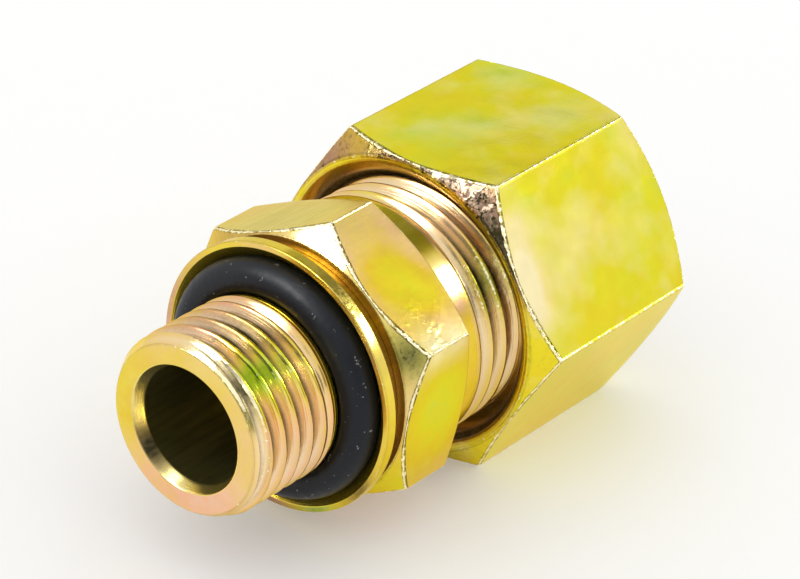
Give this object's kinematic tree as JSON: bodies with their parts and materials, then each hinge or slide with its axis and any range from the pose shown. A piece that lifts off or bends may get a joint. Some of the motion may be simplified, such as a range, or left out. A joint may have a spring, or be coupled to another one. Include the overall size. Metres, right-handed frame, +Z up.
{
  "type": "tube fitting",
  "caption": "Straight compression tube fitting with a parallel-threaded stud, O-ring and retaining ring, hexagonal body, cutting ring and union nut.",
  "frame": {"origin": "on the axis, in the front face of the body's hexagon, which faces the port", "axes": "+X along the axis from the stud to the union nut, +Z up, square to the flat of the nut that the fitting lies on"},
  "size_m": [0.0399, 0.0254, 0.022],
  "materials": {
    "plated_steel_body": "turned steel, yellow chromate over zinc, bright with pink and green tints",
    "seal_rubber": "black nitrile rubber, satin, a little dusty",
    "plated_steel_ring": "turned steel, yellow chromate over zinc",
    "cutting_ring_steel": "hardened steel, pale chromate over zinc",
    "plated_steel_nut": "forged and turned steel, cloudy yellow-green chromate over zinc"
  },
  "bodies": {
    "stud_body": {"fitting_body": "plated_steel_body", "o_ring": "seal_rubber", "retaining_ring": "plated_steel_ring"},
    "ring": {"cutting_ring": "cutting_ring_steel"},
    "nut": {"union_nut": "plated_steel_nut"}
  },
  "joints": [
    {"name": "ring_slide", "type": "slide", "parent": "stud_body", "child": "ring", "axis": [1, 0, 0], "range_m": [0, 0.00526]},
    {"name": "nut_turn", "type": "hinge", "parent": "ring", "child": "nut", "pos_m": [0.02, 0, 0], "axis": [1, 0, 0], "range_deg": [0, 1260]}
  ],
  "couplings": [
    {"joint": "ring_slide", "follows": "nut_turn", "m_per_rad": 0.00023873}
  ]
}
